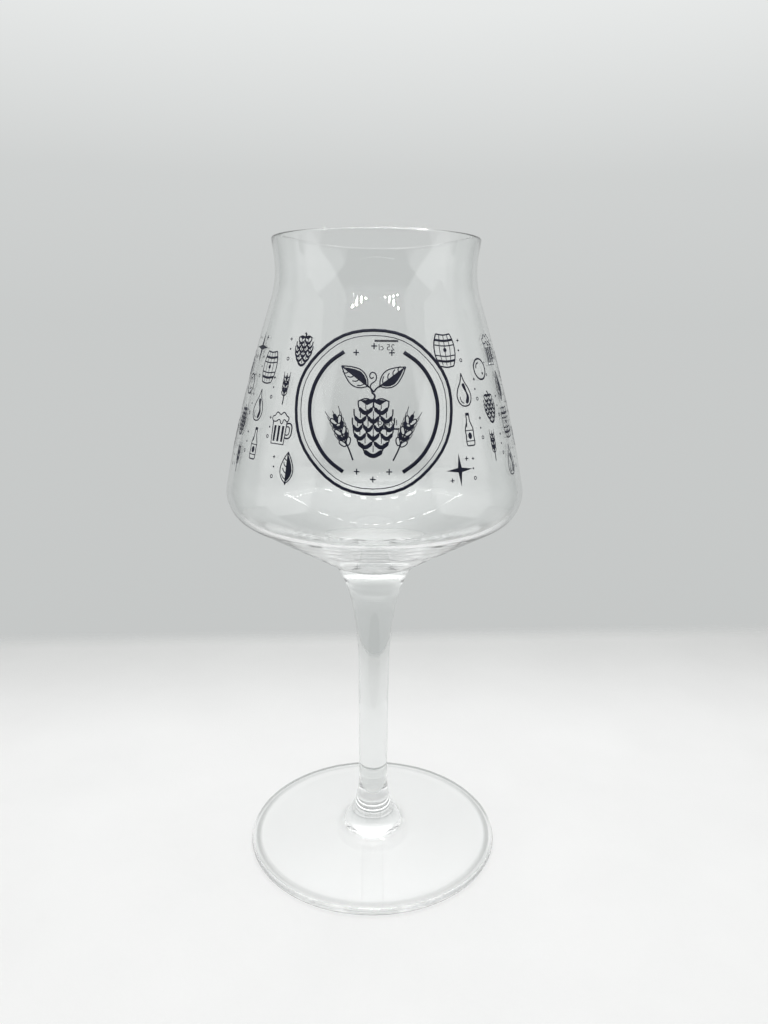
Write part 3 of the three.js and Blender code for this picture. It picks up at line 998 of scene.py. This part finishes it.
class TASTINGGLASS_OT_medallion(bpy.types.Operator):
    """Print the round medallion on the front of the bowl"""

    bl_idname = "tasting_glass.medallion"
    bl_label = "Medallion"

    def execute(self, context):
        glass = context.scene.tasting_glass
        look = glass.prints
        leaf, barley = look.leaf_lean, look.barley_lean
        parts = {
            "ring": (ring_marks(), 0),
            "arc_left": (arc_marks(-1), 0),
            "arc_right": (arc_marks(1), 0),
            "hop": (hop_marks(), 0),
            "leaf_left": (leaf_marks(), -leaf),
            "leaf_right": (leaf_marks(), leaf),
            "barley_left": (barley_marks(), -barley),
            "barley_right": (barley_marks(), barley),
        }
        for part, (marks, lean) in parts.items():
            node_name = f"print_medallion_{part}"
            centre, height = plot(node_name, 0)
            beside = set_round(sprig_marks(), centre, height) if part == "hop" else []
            bm = inked(fitted(marks, lean, centre, height) + beside, look)
            lay_print(glass, node_name, bm, 0)
        return {"FINISHED"}


class TASTINGGLASS_OT_side_prints(bpy.types.Operator):
    """Print the small motifs on both sides of the medallion"""

    bl_idname = "tasting_glass.side_prints"
    bl_label = "Side Prints"

    def execute(self, context):
        glass = context.scene.tasting_glass
        look = glass.prints
        for node_name in sorted(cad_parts):
            if node_name.startswith(("print_left", "print_right")):
                turn = facing(node_name)
                marks = DRAWINGS[node_name.split("_")[-1]]()
                centre, height = plot(node_name, turn)
                side = -1 if "left" in node_name else 1
                beside = set_round(confetti_marks(side), centre, height)
                bm = inked(fitted(marks, 0, centre, height) + beside, look)
                lay_print(glass, node_name, bm, turn)
        return {"FINISHED"}


class TASTINGGLASS_OT_fill_marks(bpy.types.Operator):
    """Print the level marks and their numerals on the back of the bowl"""

    bl_idname = "tasting_glass.fill_marks"
    bl_label = "Fill Marks"

    def execute(self, context):
        glass = context.scene.tasting_glass
        look = glass.prints
        for part, body, side in (("full", "25 cl", -1), ("half", "12.5 cl", 1)):
            node_name = f"print_fill_mark_{part}"
            turn = facing(node_name)
            centre, stroke = plot(node_name, turn)
            bm = bmesh.new()
            add_curve(bm, numeral_curve(body, look))
            level = centre.y + side * look.numeral * look.numeral_gap
            bmesh.ops.translate(bm, vec=(centre.x, level, 0), verts=bm.verts)
            line = flat_curve("line", look, True)
            half = Vector((look.mark / 2, stroke / 2))
            corners = [(-1, -1), (1, -1), (1, 1), (-1, 1)]
            trace(line, ("block", 1.0, [centre + Vector((x * half.x, y * half.y)) for x, y in corners]))
            add_curve(bm, line)
            cut_strips(bm)
            lay_print(glass, node_name, bm, turn)
        return {"FINISHED"}


class TASTINGGLASS_OT_stage(bpy.types.Operator):
    """Set the table, the soft light and the camera"""

    bl_idname = "tasting_glass.stage"
    bl_label = "Stage"

    def execute(self, context):
        look = context.scene.tasting_glass.stage
        lay_table(look)
        hang_lamp(look)
        hang_bead_lights(look)
        surround(context.scene, look)
        set_camera(context.scene, look)
        context.scene.view_settings.view_transform = "Standard"
        cycles = context.scene.cycles
        cycles.max_bounces = 32
        cycles.glossy_bounces = 24
        cycles.transmission_bounces = 32
        cycles.transparent_max_bounces = 24
        return {"FINISHED"}


def once_mirrored(tree, path):
    """1 for rays that something glossy has mirrored."""
    return maths(tree, "GREATER_THAN", path.outputs["Glossy Depth"], 0.5)


def table_cloth(look):
    """White cloth, faintly woven, with painted shade that darkens it towards the back, where it fades out.
    """
    material, tree, shader = fresh_material("table_cloth")
    shade = [c * CLOTH_SHADE for c in look.table[:3]] + [1.0]
    tone = ramp(tree, noise(tree, *CLOTH_CLOUDS), NOISE_MIDDLE, (shade, look.table))
    backward = (-math.sin(look.table_turn), math.cos(look.table_turn), 0)
    depth = node(tree, "ShaderNodeVectorMath", {0: coords(tree), 1: backward}, operation="DOT_PRODUCT")
    behind = depth.outputs["Value"]
    fade = mapped(tree, behind, look.table_back - CLOTH_FADE, look.table_back + CLOTH_FADE, 1.0, 0.0)
    reflected = once_mirrored(tree, node(tree, "ShaderNodeLightPath"))
    in_front = maths(tree, "LESS_THAN", behind, -look.table_front)
    kept = maths(tree, "SUBTRACT", 1.0, maths(tree, "MULTIPLY", reflected, in_front))
    # Painted shade: the cloth darkens from near to far
    far_shade = mapped(tree, behind, look.table_back * FAR_SHADE_START, look.table_back)
    feed(tree, shader, {
        "Base Color": blended(tree, "MULTIPLY", far_shade, tone, CLOTH_FAR_SHADE),
        "Roughness": CLOTH_ROUGHNESS,
        "Specular IOR Level": CLOTH_SPECULAR,
        "Alpha": maths(tree, "MULTIPLY", fade, kept),
        "Normal": bumped(tree, noise(tree, *CLOTH_WEAVE), WEAVE_DEPTH),
    })
    return material


def lay_table(look):
    bm = bmesh.new()
    under = Matrix.Translation((0, 0, -TABLE_GAP))
    bmesh.ops.create_grid(bm, x_segments=1, y_segments=1, size=look.table_size, matrix=under)
    table = placed("table", bm, [table_cloth(look)])


def hang_lamp(look):
    lamp = bpy.data.lights.new("soft_lamp", "AREA")
    lamp.shape = "SQUARE"
    lamp.size = look.lamp_size
    lamp.energy = look.lamp
    hung = bpy.data.objects.new("soft_lamp", lamp)
    hung.location = (0, -look.lamp_forward, look.lamp_height)
    hung.visible_glossy = False
    hung.visible_transmission = False
    bpy.context.scene.collection.objects.link(hung)


def bead_spots(look):
    """Places and widths of the tiny lamps: two rows across the tent's roof, and a ring behind the glass."""
    rows = (
        (FRONT_BEADS, look.front_reach, -look.front_distance),
        (ROOF_BEADS, look.roof_reach, -look.roof_distance),
    )
    for count, reach, depth in rows:
        for i in range(count):
            yield Vector((reach * (2 * i / (count - 1) - 1), depth, look.bead_height)), look.bead
    for i in range(RING_BEADS):
        spot = ray(2 * math.pi * i / RING_BEADS) * look.ring_radius
        yield Vector((spot.x, look.ring_distance + spot.y, look.bead_height)), look.ring_bead


def hang_bead_lights(look):
    """Tiny lamps under the roof of the tent, which only the glass mirrors."""
    material, tree, shader = fresh_material("bead_light")
    feed(tree, shader, {"Emission Color": (1, 1, 1, 1), "Emission Strength": look.bead_light})
    bm = bmesh.new()
    across, upright = BEAD_SIDES
    for spot, width in bead_spots(look):
        place = Matrix.Translation(spot)
        bmesh.ops.create_uvsphere(bm, u_segments=across, v_segments=upright, radius=width / 2, matrix=place)
    beads = placed("bead_lights", bm, [material])
    beads.visible_camera = False
    beads.visible_diffuse = False
    beads.visible_shadow = False


def background(tree, shade, strength):
    inputs = {"Color": shade, "Strength": strength}
    return node(tree, "ShaderNodeBackground", inputs).outputs["Background"]


def tent_front(tree, axes, wall):
    """What the glass mirrors: the walls, bright panels in front and a dim opening round the camera."""
    turn = maths(tree, "ARCTAN2", axes.outputs["X"], maths(tree, "MULTIPLY", axes.outputs["Y"], -1.0))
    rise = maths(tree, "ARCSINE", axes.outputs["Z"])
    taper = maths(tree, "ADD", OPENING_TAPER, maths(tree, "MULTIPLY", rise, OPENING_TAPER))
    across = between(tree, maths(tree, "MULTIPLY", turn, taper), *OPENING_TURNS)
    opening = maths(tree, "MULTIPLY", across, between(tree, rise, *OPENING_RISES))
    panel = maths(tree, "MULTIPLY", between(tree, turn, *PANEL_TURNS), between(tree, rise, *PANEL_RISES))
    lit = blended(tree, "MIX", panel, wall, PANEL_LIGHT)
    high = maths(tree, "MULTIPLY", between(tree, rise, *HIGH_RISES), HIGH_LIGHT)
    darkness = maths(tree, "MULTIPLY", opening, maths(tree, "SUBTRACT", 1.0, high))
    dim = blended(tree, "MIX", darkness, lit, OPENING_LIGHT)
    overhead = maths(tree, "MULTIPLY", between(tree, rise, *OVERHEAD_RISES), OVERHEAD_LIGHT)
    return background(tree, dim, maths(tree, "ADD", overhead, 1.0))


def surround(scene, look):
    """Pale walls all round, brighter overhead, an even light, and the front of the tent in reflections."""
    world = bpy.data.worlds.new("pale_tent")
    world.use_nodes = True
    tree = world.node_tree
    tree.nodes.clear()
    outward = node(tree, "ShaderNodeTexCoord").outputs["Generated"]
    axes = node(tree, "ShaderNodeSeparateXYZ", {"Vector": outward})
    height = mapped(tree, axes.outputs["Z"], -1.0, 1.0, smooth=False)
    wall = ramp(tree, height, *zip(*WALL_TONES))
    path = node(tree, "ShaderNodeLightPath")
    through = maths(tree, "MAXIMUM", path.outputs["Is Camera Ray"], path.outputs["Is Transmission Ray"])
    direct = maths(tree, "MAXIMUM", through, path.outputs["Is Glossy Ray"])
    even = background(tree, (1, 1, 1, 1), look.ambient)
    shown = mixed(tree, direct, even, background(tree, wall, 1.0))
    reflected = maths(tree, "MULTIPLY", direct, once_mirrored(tree, path))
    shown = mixed(tree, reflected, shown, tent_front(tree, axes, wall))
    node(tree, "ShaderNodeOutputWorld", {"Surface": shown})
    scene.world = world


def set_camera(scene, look):
    camera = bpy.data.cameras.new("camera")
    camera.lens = look.camera_lens
    camera.clip_start = 0.01
    seat = bpy.data.objects.new("camera", camera)
    seat.location = (look.camera_side, -look.camera_distance, look.camera_height)
    tilt = Matrix.Rotation(RIGHT_ANGLE - look.camera_pitch, 3, "X")
    roll = Matrix.Rotation(look.camera_roll, 3, "Z")
    seat.rotation_euler = (tilt @ roll).to_euler()
    scene.collection.objects.link(seat)
    scene.camera = seat


OPERATORS = (
    TASTINGGLASS_OT_bowl,
    TASTINGGLASS_OT_stem,
    TASTINGGLASS_OT_foot,
    TASTINGGLASS_OT_medallion,
    TASTINGGLASS_OT_side_prints,
    TASTINGGLASS_OT_fill_marks,
    TASTINGGLASS_OT_stage,
)


class TASTINGGLASS_PT_sidebar(bpy.types.Panel):
    """Buttons that build the tasting glass"""

    bl_idname = "TASTINGGLASS_PT_sidebar"
    bl_label = "Tasting Glass"
    bl_space_type = "VIEW_3D"
    bl_region_type = "UI"
    bl_category = "Tasting Glass"

    def draw(self, context):
        for operator in OPERATORS:
            self.layout.operator(operator.bl_idname)


GROUPS = (BowlSizes, StemSizes, FootSizes, GlassLook, PrintLook, StageLook, TastingGlass)
CLASSES = GROUPS + OPERATORS + (TASTINGGLASS_PT_sidebar,)


def register():
    for entry in CLASSES:
        bpy.utils.register_class(entry)
    bpy.types.Scene.tasting_glass = PointerProperty(type=TastingGlass)


def unregister():
    del bpy.types.Scene.tasting_glass
    for entry in reversed(CLASSES):
        bpy.utils.unregister_class(entry)


def main():
    register()
    for name in ("bowl", "stem", "foot", "medallion", "side_prints", "fill_marks", "stage"):
        getattr(bpy.ops.tasting_glass, name)()


if __name__ == "__main__":
    main()
